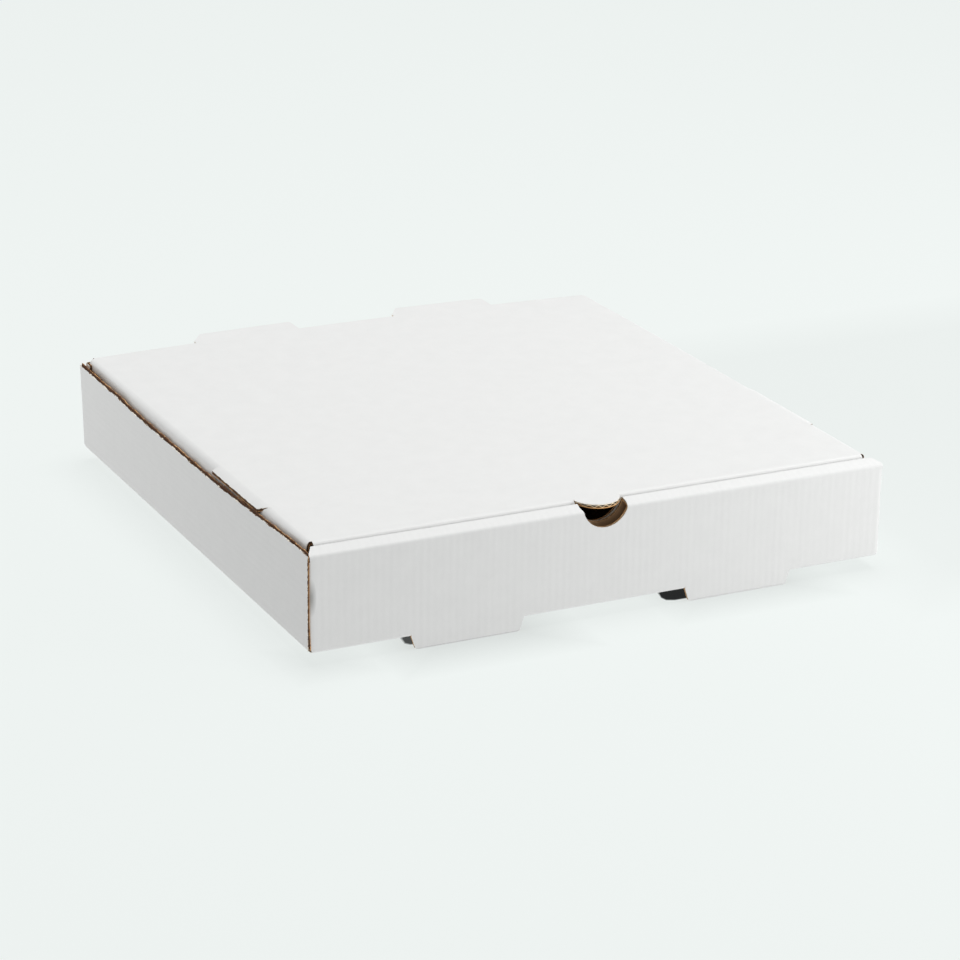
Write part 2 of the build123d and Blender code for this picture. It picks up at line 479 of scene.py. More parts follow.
    def make(self, ply: Ply) -> bpy.types.Object:
        """Make one ply of the folded blank.

        Args:
            ply: the ply to make.

        Returns:
            The ply as an object, with the flat blank as its UV map.
        """
        low, high = self.stock.depths(ply)
        mesh = self.sheet(ply)
        self.knife(mesh)
        bmesh.ops.solidify(mesh, geom=mesh.faces[:], thickness=high - low)
        heights = [vert.co.z for vert in mesh.verts]
        lowest, middle = min(heights), (min(heights) + max(heights)) / 2
        glued = {Ply.WHITE_LINER: {True}, Ply.BROWN_LINER: {False}}.get(ply)
        for face in mesh.faces:
            sides = {vert.co.z > middle for vert in face.verts}
            face.material_index = CUT if len(sides) == 2 else GLUED if sides == glued else FACE
            face.smooth = len(sides) == 1
        for edge in mesh.edges:
            edge.smooth = all(face.material_index != CUT for face in edge.link_faces)
        name = f"{self.name}_{ply.value}"
        data = to_data(mesh, name)
        flat = np.empty(len(data.vertices) * 3)
        data.vertices.foreach_get("co", flat)
        flat = flat.reshape(-1, 3)
        tabs = np.empty(len(data.vertices), np.int32)
        data.attributes["tab"].data.foreach_get("value", tabs)
        flat[:, 2] += low - lowest
        if ply is Ply.MEDIUM:
            turns = 2 * math.pi * flat[:, 0] / self.stock.flute_pitch
            flat[:, 2] += self.stock.flute_rise * np.sin(turns)
        data.vertices.foreach_set("co", (self.fold(flat, tabs) * METRES).ravel())
        corners = np.empty(len(data.loops), np.int32)
        data.loops.foreach_get("vertex_index", corners)
        blank_map = data.uv_layers.new(name="blank")
        blank_map.data.foreach_set("uv", (flat[corners, :2] * METRES).ravel())
        data.attributes.remove(data.attributes["tab"])
        data.update()
        point_outwards(data)
        return put(name, data)


def point_outwards(data: bpy.types.Mesh) -> None:
    """Turn the faces of a closed ply's mesh outwards."""
    mesh = bmesh.new()
    mesh.from_mesh(data)
    if mesh.calc_volume(signed=True) < 0:
        bmesh.ops.reverse_faces(mesh, faces=mesh.faces[:])
    mesh.to_mesh(data)
    mesh.free()


# Finishes


@dataclass
class NodeSheet:
    """A node tree that nodes are added to and joined in."""

    tree: bpy.types.NodeTree

    def feed(self, inlet: Socket, value: object) -> None:
        """Join a socket to an input, or give the input a value of its own."""
        if isinstance(value, Socket):
            self.tree.links.new(value, inlet)
        else:
            inlet.default_value = value

    def set(self, node: bpy.types.Node, **values: object) -> bpy.types.Node:
        """Set up a node.

        Args:
            node: the node.
            values: its properties, and sockets or values for its inputs, whose names have
                underscores for spaces.

        Returns:
            The same node.
        """
        for key, value in values.items():
            if hasattr(node, key):
                setattr(node, key, value)
            else:
                self.feed(node.inputs[key.replace("_", " ")], value)
        return node

    def add(self, kind: str, **values: object) -> bpy.types.Node:
        """Add a node of a kind and set it up."""
        return self.set(self.tree.nodes.new(kind), **values)

    def sum(self, kind: str, first: object, second: object = 0.0) -> Socket:
        """Work out a sum of two sockets or numbers.

        Args:
            kind: operation of the Math node.
            first: first socket or number.
            second: second socket or number, if the operation has one.

        Returns:
            The output with the result.
        """
        node = self.add("ShaderNodeMath", operation=kind)
        self.feed(node.inputs[0], first)
        self.feed(node.inputs[1], second)
        return node.outputs[0]

    def spread(
        self, value: Socket, low: float, high: float, out_low: float, out_high: float
    ) -> Socket:
        """Spread a range of values over another range.

        Args:
            value: the socket to spread.
            low: value that becomes out_low.
            high: value that becomes out_high.
            out_low: first result.
            out_high: last result.

        Returns:
            The output with the result.
        """
        ends = {"From_Min": low, "From_Max": high, "To_Min": out_low, "To_Max": out_high}
        return self.add("ShaderNodeMapRange", Value=value, **ends).outputs["Result"]

    def noise(self, place: Socket, **values: float) -> Socket:
        """Add a noise pattern with the given numbers, and return its output."""
        return self.add("ShaderNodeTexNoise", Vector=place, **values).outputs["Fac"]

    def stretch(self, place: Socket, share: float) -> Socket:
        """Squeeze places along the blank to a share, which draws a pattern out there."""
        node = self.add("ShaderNodeMapping", Vector=place, Scale=(1.0, share, 1.0))
        return node.outputs["Vector"]

    def blend(self, factor: Socket, first: object, last: object) -> Socket:
        """Blend two colours, each a colour or a socket.

        Args:
            factor: socket that is 0 for the first colour and 1 for the last.
            first: the first colour.
            last: the last colour.

        Returns:
            The output with the colour.
        """
        node = self.add("ShaderNodeMix", data_type="RGBA", clamp_factor=True, Factor=factor)
        inlets = [inlet for inlet in node.inputs if inlet.type == "RGBA"]
        for inlet, colour in zip(inlets, (first, last)):
            joined = isinstance(colour, Socket)
            self.feed(inlet, colour if joined else (*colour, 1.0))
        return next(outlet for outlet in node.outputs if outlet.type == "RGBA")


class Effects:
    """Shared effects of paper and board, each built once as a node group.

    Places are in metres of the flat blank. A cut edge is cut clean as far from the middle as
    CLEAN_UNTIL and can be torn from the limit after it on; its torn dashes are dark with painted
    shade of the grooves between the liners.
    """

    CLEAN_UNTIL, TORN_FROM = 0.135, 0.140
    # Middle and size of the painted shade of a dent beside the front's left edge, in the flat
    # blank.
    DENT_SHADE_PLACE: Place = (-0.1500, -0.1869, 0.0)
    DENT_SHADE_SIZE: Place = (0.0026, 0.0095, 1.0)

    def __init__(self) -> None:
        """Build the groups."""
        self.fibre = self._fibre()
        self.washboard = self._washboard()
        # Torn dashes of cut edges, dark with painted shade of the grooves between the liners.
        self.torn = self._torn_groove_shade()
        # The painted shade of a dent.
        self.painted_dent_shade = self._painted_dent_shade()

    @staticmethod
    def _start(name: str, *outlets: str) -> tuple[NodeSheet, Socket]:
        """Start a node group.

        Args:
            name: name of the group.
            outlets: names of its number outputs.

        Returns:
            The group's sheet, and the socket with the place in the flat blank.
        """
        tree = bpy.data.node_groups.new(name, "ShaderNodeTree")
        tree.interface.new_socket("Place", in_out="INPUT", socket_type="NodeSocketVector")
        for title in outlets:
            tree.interface.new_socket(title, in_out="OUTPUT", socket_type="NodeSocketFloat")
        sheet = NodeSheet(tree)
        return sheet, sheet.add("NodeGroupInput").outputs["Place"]

    def _fibre(self) -> bpy.types.NodeTree:
        """Pressed paper: cloudy formation and short fibres.

        Returns:
            The group's tree.
        """
        sheet, place = self._start("paper fibre", "Cloud", "Fibre")
        cloud = sheet.noise(place, Scale=95.0, Detail=5.0, Roughness=0.62)
        drawn = sheet.stretch(place, 0.35)
        fibre = sheet.noise(drawn, Scale=900.0, Detail=3.0, Roughness=0.6, Distortion=0.6)
        sheet.add("NodeGroupOutput", Cloud=cloud, Fibre=fibre)
        return sheet.tree

    def _washboard(self) -> bpy.types.NodeTree:
        """Liner sinking a little between the flutes, unevenly along the sheet.

        Returns:
            The group's tree.
        """
        sheet, place = self._start("washboard", "Height")
        across = sheet.add("ShaderNodeSeparateXYZ", Vector=place).outputs["X"]
        turns = sheet.sum("DIVIDE", across, BoardStock.flute_pitch * METRES)
        wave = sheet.sum("SINE", sheet.sum("MULTIPLY", turns, 2 * math.pi))
        drawn = sheet.stretch(place, 0.12)
        uneven = sheet.noise(drawn, Scale=120.0, Detail=3.0, Roughness=0.7)
        amount = sheet.spread(uneven, 0.35, 0.7, 0.15, 1.0)
        sheet.add("NodeGroupOutput", Height=sheet.sum("MULTIPLY", wave, amount))
        return sheet.tree

    def _torn_groove_shade(self) -> bpy.types.NodeTree:
        """Knife-cut edge that is whole in some places and torn down in others, where it is dark
        with painted groove shade.

        Returns:
            The group's tree.
        """
        sheet, place = self._start("torn edge", "Whole", "Clean")
        drawn = sheet.stretch(place, 0.45)
        tear = sheet.noise(drawn, Scale=430.0, Detail=3.0, Roughness=0.7)
        across = sheet.add("ShaderNodeSeparateXYZ", Vector=place).outputs["X"]
        side = sheet.sum("ABSOLUTE", across)
        whole = sheet.spread(tear, 0.45, 0.55, 0.0, 1.0)
        clean = sheet.spread(side, self.CLEAN_UNTIL, self.TORN_FROM, 1.0, 0.0)
        sheet.add("NodeGroupOutput", Whole=sheet.sum("MAXIMUM", whole, clean), Clean=clean)
        return sheet.tree

    def _painted_dent_shade(self) -> bpy.types.NodeTree:
        """Painted shade of a dent beside the front's left edge, which fades out from its middle.

        Returns:
            The group's tree.
        """
        sheet, place = self._start("painted_dent_shade", "Mark")
        oval = {"Location": self.DENT_SHADE_PLACE, "Scale": self.DENT_SHADE_SIZE}
        near = sheet.add("ShaderNodeMapping", vector_type="TEXTURE", Vector=place, **oval)
        reach = sheet.add("ShaderNodeVectorMath", operation="LENGTH")
        sheet.feed(reach.inputs[0], near.outputs["Vector"])
        mark = sheet.spread(reach.outputs["Value"], 0.15, 1.0, 1.0, 0.0)
        sheet.add("NodeGroupOutput", Mark=mark)
        return sheet.tree


@dataclass(frozen=True)
class PaperFinish:
    """Look of one paper surface of the board.

    Its tone runs from dark to light, and its washboard and fibres stand up by so many millimetres.
    A torn finish is light where its cut edge is whole and dark with painted groove shade where it
    is torn, and a crushed one is light only where it is clean.
    """

    name: str
    light: Colour
    dark: Colour
    roughness: float
    washboard: float = 0.0
    fibre: float = 0.02
    shade_flutes: float = 0.0
    # How much a cut edge shows torn dashes, dark with painted groove shade, in place of mottle.
    torn: float = 0.0
    crushed: bool = False
    # Colour of a dent's painted shade, blended over the tone.
    dent_shade_colour: Colour | None = None
    roughness_swing: float = 0.06

    def material(self, effects: Effects) -> bpy.types.Material:
        """Make the material.

        Args:
            effects: the shared node groups.

        Returns:
            The material.
        """
        made = bpy.data.materials.new(self.name)
        made.use_nodes = True
        made.node_tree.nodes.clear()
        sheet = NodeSheet(made.node_tree)
        place = sheet.add("ShaderNodeUVMap", uv_map="blank").outputs["UV"]
        paper, board, edge = (
            sheet.add("ShaderNodeGroup", node_tree=tree, Place=place).outputs
            for tree in (effects.fibre, effects.washboard, effects.torn)
        )
        clouds = sheet.spread(paper["Cloud"], 0.3, 0.7, 0.0, 0.7)
        fibres = sheet.spread(paper["Fibre"], 0.3, 0.7, 0.0, 0.3)
        mottle = sheet.sum("MULTIPLY", sheet.sum("ADD", clouds, fibres), 1.0 - self.torn)
        flutes = sheet.sum("MULTIPLY", board["Height"], self.shade_flutes)
        # Torn dashes of a cut edge, dark with painted shade of the grooves between the liners.
        groove_shade_dashes = sheet.sum("MULTIPLY", edge["Clean" if self.crushed else "Whole"], self.torn)
        factor = sheet.sum("ADD", sheet.sum("ADD", mottle, flutes), groove_shade_dashes)
        colour = sheet.blend(factor, self.dark, self.light)
        # Painted shade of a dent, blended over the tone.
        if self.dent_shade_colour:
            painted_dent_shade = sheet.add("ShaderNodeGroup", node_tree=effects.painted_dent_shade, Place=place)
            colour = sheet.blend(painted_dent_shade.outputs["Mark"], colour, self.dent_shade_colour)
        dips = sheet.sum("MULTIPLY", board["Height"], self.washboard)
        height = sheet.sum("ADD", dips, sheet.sum("MULTIPLY", paper["Fibre"], self.fibre))
        bump = sheet.add("ShaderNodeBump", Strength=1.0, Distance=METRES, Height=height)
        ends = self.roughness - self.roughness_swing, self.roughness + self.roughness_swing
        shader = sheet.add(
            "ShaderNodeBsdfPrincipled",
            Base_Color=colour,
            Roughness=sheet.spread(paper["Cloud"], 0.2, 0.8, *ends),
            Normal=bump.outputs["Normal"],
        )
        sheet.add("ShaderNodeOutputMaterial", Surface=shader.outputs["BSDF"])
        return made


LID_WHITE = PaperFinish(
    "clay coated white of the lid", (0.825, 0.830, 0.822), (0.795, 0.800, 0.792), 0.58,
    washboard=0.004, fibre=0.012, shade_flutes=0.02,
)
# The tray's white carries the painted shade of a dent beside the front's left edge.
TRAY_WHITE = PaperFinish(
    "clay coated white of the tray", (0.815, 0.820, 0.812), (0.780, 0.785, 0.778), 0.60,
    washboard=0.020, fibre=0.015, shade_flutes=0.25, dent_shade_colour=(0.44, 0.44, 0.43),
)
# The cut edges' dark tones are painted shade of the open grooves between the liners.
WHITE_CUT = PaperFinish(
    "cut edge of the white liner", (0.92, 0.85, 0.73), (0.15, 0.075, 0.03), 0.85,
    fibre=0.05, torn=1.0,
)
BROWN = PaperFinish(
    "brown kraft liner", (0.48, 0.30, 0.16), (0.36, 0.21, 0.105), 0.82,
    washboard=0.02, fibre=0.05, shade_flutes=0.10,
)
BROWN_CUT = PaperFinish(
    "cut edge of the brown liner", (0.74, 0.41, 0.17), (0.26, 0.115, 0.045), 0.9,
    fibre=0.05, torn=1.0,
)
# The glued sides show only in the grooves at cut edges; their near-black tone is painted shade of
# those grooves.
GLUE_SIDE = PaperFinish(
    "glued side of a liner", (0.34, 0.16, 0.06), (0.05, 0.022, 0.009), 0.9, fibre=0.05, torn=1.0
)
# The medium's brown is darkened far below the paper's own tan: painted shade of the flutes between
# the liners.
MEDIUM = PaperFinish(
    "fluted medium", (0.13, 0.062, 0.026), (0.07, 0.033, 0.014), 0.85, fibre=0.05
)
MEDIUM_CUT = PaperFinish(
    "cut edge of the medium", (0.86, 0.66, 0.42), (0.13, 0.055, 0.022), 0.9,
    fibre=0.05, torn=1.0, crushed=True,
)


@dataclass
class Papers:
    """The materials of the three plies."""

    effects: Effects

    def __post_init__(self) -> None:
        """Make each material once."""
        faces = (LID_WHITE, TRAY_WHITE, BROWN, MEDIUM, GLUE_SIDE)
        cuts = (WHITE_CUT, BROWN_CUT, MEDIUM_CUT)
        self.made = {finish: finish.material(self.effects) for finish in (*faces, *cuts)}

    def dress(self, thing: bpy.types.Object, ply: Ply, white: PaperFinish) -> None:
        """Give a ply its face and cut-edge materials.

        Args:
            thing: the ply's object.
            ply: which ply it is.
            white: finish of the white face.
        """
        face, cut = {
            Ply.WHITE_LINER: (white, WHITE_CUT),
            Ply.MEDIUM: (MEDIUM, MEDIUM_CUT),
            Ply.BROWN_LINER: (BROWN, BROWN_CUT),
        }[ply]
        for finish in (face, cut, GLUE_SIDE):
            thing.data.materials.append(self.made[finish])


# Box


@dataclass(frozen=True)
class BoxSizes:
    """Sizes of the folded box, in millimetres, the same as the CAD part's."""

    front: float = -160.2
    back: float = 149.8
    side: float = 152.5
    board: float = 1.6
    floor_under: float = 6.6
    front_crease: float = 54.5
    wall_top: float = 53.9
    roll_top: float = 57.2
    roll_depth: float = 8.5
    lid_top: float = 57.1

    tray_fold: float = 1.8
    lid_fold: float = 2.2
    hinge_fold: float = 3.0
    fold_half: float = 150.3
    panel_half: float = 148.8
    strip_half: float = 150.6
    inner_half: float = 148.7
    inner_panel_gap: float = 0.4
    wedge_gap: float = 1.2

    corner_flap: float = 48.0
    corner_flap_slope: float = 12.0
    corner_flap_drop: float = 3.0
    back_shoulder: float = 5.0

    foot_from_centre: float = 72.5
    foot_half: float = 29.0
    foot_taper: float = 2.0
    foot_corner: float = 1.5
    slot_clearance: float = 0.5
    lock_tab_half: float = 24.0
    lock_tab_drop: float = 1.8

    lid_flat_half: float = 146.5
    lid_front: float = -151.1
    lid_flap: float = 38.0
    lid_flap_lean: float = 5.0
    lid_flap_slope: float = 9.0
    lid_corner_gap: float = 0.5
    hinge_y: float = 149.0
    hinge_end_gap: float = 2.4

    notch_middle: float = -0.9
    notch_centre: float = 57.7
    notch_radius: float = 12.3
    inner_notch_drop: float = 3.0
    tongue_radius: float = 12.0
    tongue_setback: float = 0.4

    side_tab_start: float = 58.5
    side_tab_length: float = 64.0
    side_tab_slant: float = 6.5
    side_tab_edge: float = 151.7
    back_tab_inner: float = 28.5
    back_tab_outer: float = 88.5
    back_tab_reach: float = 11.2
    back_tab_corner: float = 2.0
    vent_gap: float = 0.5
    vent_bottom: float = 44.5

    @property
    def tray_run(self) -> float:
        """White face that a square fold of the tray takes up."""
        return self.tray_fold * QUARTER

    @property
    def lid_run(self) -> float:
        """White face that a square fold of the lid takes up."""
        return self.lid_fold * QUARTER

    @property
    def wall_root(self) -> float:
        """Height at which a wall comes straight out of its fold."""
        return self.floor_under + self.tray_fold

    @property
    def bottom_edge(self) -> float:
        """Where the bottom's flat part ends at each side."""
        return self.side - self.tray_fold

    @property
    def wall_edge(self) -> float:
        """Raw top edge of a side wall, in the flat blank."""
        return self.bottom_edge + self.tray_run + self.wall_top - self.wall_root

    @property
    def flap_top(self) -> float:
        """Height of a corner flap's top edge."""
        return self.front_crease - self.corner_flap_drop


@dataclass(frozen=True)
class WallWear:
    """How a side wall's top edge has worn and leant, at stations from the front face.

    Each of the waves that tear the edge has its share, its pace, its start and its shift from
    ply to ply.
    """

    stations: tuple[float, ...] = (0, 20, 35, 60, 85, 110, 136, 221, 242, 254, 266, 310)
    drops: tuple[float, ...] = (0.0, 0.0, 0.3, 1.1, 1.9, 2.5, 2.8, 2.7, 2.2, 1.3, 1.7, 0.9)
    lean_stations: tuple[float, ...] = (0, 40, 100, 220, 310)
    leans: tuple[float, ...] = (0.0, 0.25, 0.7, 0.8, 1.1)
    liner_rises: tuple[float, ...] = (0.6, 0.6, 0.8, 1.0, 0.9)
    right_drop: float = 2.2
    medium_drop: float = 0.35
    medium_depths: tuple[float, ...] = (0.36, 0.40, 1.20, 1.24)
    medium_share: tuple[float, ...] = (0.0, 1.0, 1.0, 0.0)
    brown_depth: float = 1.22
    drop_curve: int = 3
    lean_curve: float = 1.5
    tear: float = 0.3
    ply_gap: float = 0.7
    waves: tuple[tuple[float, float, float, float], ...] = (
        (0.5, 1.9, 0.0, 2.3),
        (0.5, 4.3, 1.0, 3.1),
        (0.6, 0.31, 0.0, 1.7),
    )

    def at(self, along: np.ndarray, depth: np.ndarray) -> tuple[np.ndarray, np.ndarray]:
        """Find how the top edge has moved.

        Args:
            along: distances from the front face.
            depth: depths under the white face.

        Returns:
            How far the edge is lower, and how far it leans outwards.
        """
        rise = np.interp(along, self.lean_stations, self.liner_rises)
        by_ply = np.interp(depth, self.medium_depths, self.medium_share)
        inner = np.where(depth > self.brown_depth, 1.0, 0.0)
        lower = np.interp(along, self.stations, self.drops)
        lower = lower + by_ply * self.medium_drop - inner * rise
        return lower, np.interp(along, self.lean_stations, self.leans)

    def ragged(self, along: np.ndarray, depth: np.ndarray) -> np.ndarray:
        """Tear the raw edge unevenly.

        Args:
            along: distances from the front face.
            depth: depths under the white face.

        Returns:
            How far each point of the edge is torn down.
        """
        ply = np.round(depth / self.ply_gap)
        return self.tear * sum(
            share * np.sin(pace * along + start + shift * ply)
            for share, pace, start, shift in self.waves
        )


@dataclass(frozen=True)
class Dome:
    """How far the lid has sprung up, at shares of the way from the front to the back."""

    stations: tuple[float, ...] = (0.0, 0.06, 0.5, 1.0)
    rises: tuple[float, ...] = (0.0, 0.1, 1.1, 2.3)
    droop_stations: tuple[float, ...] = (0.6, 0.85, 1.0)
    droops: tuple[float, ...] = (0.0, 0.25, 0.6)

    def at(self, sizes: BoxSizes, place: np.ndarray) -> np.ndarray:
        """Find how far the lid has risen.

        Args:
            sizes: the box's sizes.
            place: folded places.

        Returns:
            Rise of each place.
        """
        across = np.clip(np.abs(place[:, 0]) / sizes.lid_flat_half, 0.0, 1.0)
        along = (place[:, 1] - sizes.front) / (sizes.back - sizes.front)
        middle = np.interp(along, self.stations, self.rises)
        return middle * (1.0 - across**2) - np.interp(along, self.droop_stations, self.droops)


@dataclass
class TrayBlank(Blank):
    """The tray's blank, whose side walls are worn at their raw top edges."""

    sizes: BoxSizes = BoxSizes()
    wear: WallWear = WallWear()
    edge_cuts: int = 12
    fade: float = 8.0
    crush: float = 0.5
    crush_rise: float = 10.0
    corner_press: float = 0.9
    corner_run: float = 0.5
    widen_start: float = 100.0
    widen_depth: float = 2.0
    widen_left: float = 1.8
    widen_right: float = 1.95

    def sheet(self, ply: Ply) -> Sheet:
        """Lay out one ply flat, with short steps along the side walls' raw edges.

        Args:
            ply: the ply to lay out.

        Returns:
            A flat mesh in millimetres.
        """
        mesh = super().sheet(ply)
        raw = [
            edge
            for edge in mesh.edges
            if all(abs(abs(vert.co.x) - self.sizes.wall_edge) < CLOSE for vert in edge.verts)
        ]
        for edge in raw:
            start = edge.verts[0]
            for cut in range(self.edge_cuts, 0, -1):
                edge, vert = bmesh.utils.edge_split(edge, start, 1.0 / (cut + 1))
                start = vert
                edge = next(e for e in vert.link_edges if e is not edge)
        return mesh

    def settle(self, points: Points) -> None:
        """Wear the side walls' top edges, lean them outwards and press the front.

        Args:
            points: the folded points, whose places are moved.
        """
        s, place = self.sizes, points.place
        side = np.sign(points.u)
        wall_start = s.bottom_edge + s.tray_run
        up = np.clip((np.abs(points.u) - wall_start) / (s.wall_edge - wall_start), 0.0, 1.0)
        up[(points.v < s.front - CLOSE) | (points.v > s.back + CLOSE)] = 0.0
        along = points.v - s.front
        lower, lean = self.wear.at(along, points.depth)
        lower = np.where(points.u > 0, np.maximum(lower, self.wear.right_drop), lower)
        torn = np.where(up > 1.0 - CLOSE, self.wear.ragged(along, points.depth), 0.0)
        place[:, 2] -= lower * up**self.wear.drop_curve + torn
        place[:, 0] += side * lean * up**self.wear.lean_curve
        front_end = np.clip(1.0 - along / self.fade, 0.0, 1.0)
        crushed = front_end * np.clip(self.crush_rise * up, 0.0, 1.0)
        place[:, 0] += side * points.depth * self.crush * crushed
        self.widen_front(points)

    def widen_front(self, points: Points) -> None:
        """Press the front's corner folds square and widen the front over the side walls' ends.

        Args:
            points: the folded points, whose places are moved.
        """
        s, place = self.sizes, points.place
        near = s.front + s.tray_fold
        root = near - s.tray_run
        flap_end = root - (s.flap_top - s.wall_root)
        raised = np.clip((near - points.v) / s.tray_run, 0.0, 1.0)
        depth = place[:, 1] - s.front
        past_fold = (np.abs(points.u) - s.panel_half) / (self.corner_run * s.tray_run)
        flap = (points.v < root + CLOSE) & (points.v > flap_end - CLOSE)
        pressed = np.interp(depth, [0.0, s.tray_fold, self.fade], [0.0, 1.0, 0.0])
        place[:, 1] -= self.corner_press * pressed * np.clip(past_fold, 0.0, 1.0) * flap
        fading = 1.0 - (depth - self.widen_depth) / (self.fade - self.widen_depth)
        near_front = np.clip(fading, 0.0, 1.0) * raised
        for way, amount in ((-1.0, self.widen_left), (1.0, self.widen_right)):
            out = (way * place[:, 0] - self.widen_start) / (s.side - self.widen_start)
            place[:, 0] += way * amount * np.clip(out, 0, 1) * near_front


@dataclass
class LidBlank(Blank):
    """The lid's blank, slightly domed, with its side flaps bowed and its side tabs sagging."""

    sizes: BoxSizes = BoxSizes()
    dome: Dome = Dome()
    bow_stations: tuple[float, ...] = (0.03, 0.10, 0.25, 0.75, 0.97)
    bows: tuple[float, ...] = (0.6, 1.5, 2.0, 1.9, 0.6)
    flap_bow_run: float = 6.5
    tab_sag: float = 1.9
    sag_curve: float = 1.6
    tongue_spring: float = 0.6
    tongue_spring_run: float = 8.0

    def settle(self, points: Points) -> None:
        """Dome the lid, bow its flaps, let the side tabs sag and spring the tongue's edge open.

        Args:
            points: the folded points, whose places are moved.
        """
        s, place = self.sizes, points.place
        along = np.clip((points.v - s.front) / (s.back - s.front), 0.0, 1.0)
        beyond = np.clip(np.abs(points.u) - s.lid_flat_half, 0.0, None)
        bow = np.interp(along, self.bow_stations, self.bows)
        bowed = np.clip(beyond / self.flap_bow_run, 0.0, 1.0) * bow
        place[:, 2] += self.dome.at(s, place)
        place[:, 0] += np.sign(points.u) * bowed * (points.tabs == 0)
        sag = (beyond / (s.side_tab_edge - s.lid_flat_half)) ** self.sag_curve
        place[:, 2] -= self.tab_sag * sag * (points.tabs == SIDE_TAB)
        from_tip = (points.v - (s.front + s.tongue_setback)) / self.tongue_spring_run
        opened = self.tongue_spring * np.clip(1.0 - from_tip, 0.0, 1.0)
        place[:, 2] -= opened * points.depth / s.board * (points.tabs == TONGUE)


@dataclass
class HingeBlank(Blank):
    """The strips of board between the back tabs, which rise with the lid."""

    sizes: BoxSizes = BoxSizes()
    dome: Dome = Dome()

    def settle(self, points: Points) -> None:
        """Raise the strips' upper ends with the lid.

        Args:
            points: the folded points, whose places are moved.
        """
        s, place = self.sizes, points.place
        turned = (points.v - (s.back - s.hinge_fold)) / (s.hinge_fold * QUARTER)
        place[:, 2] += self.dome.at(s, place) * np.clip(1.0 - turned, 0.0, 1.0)


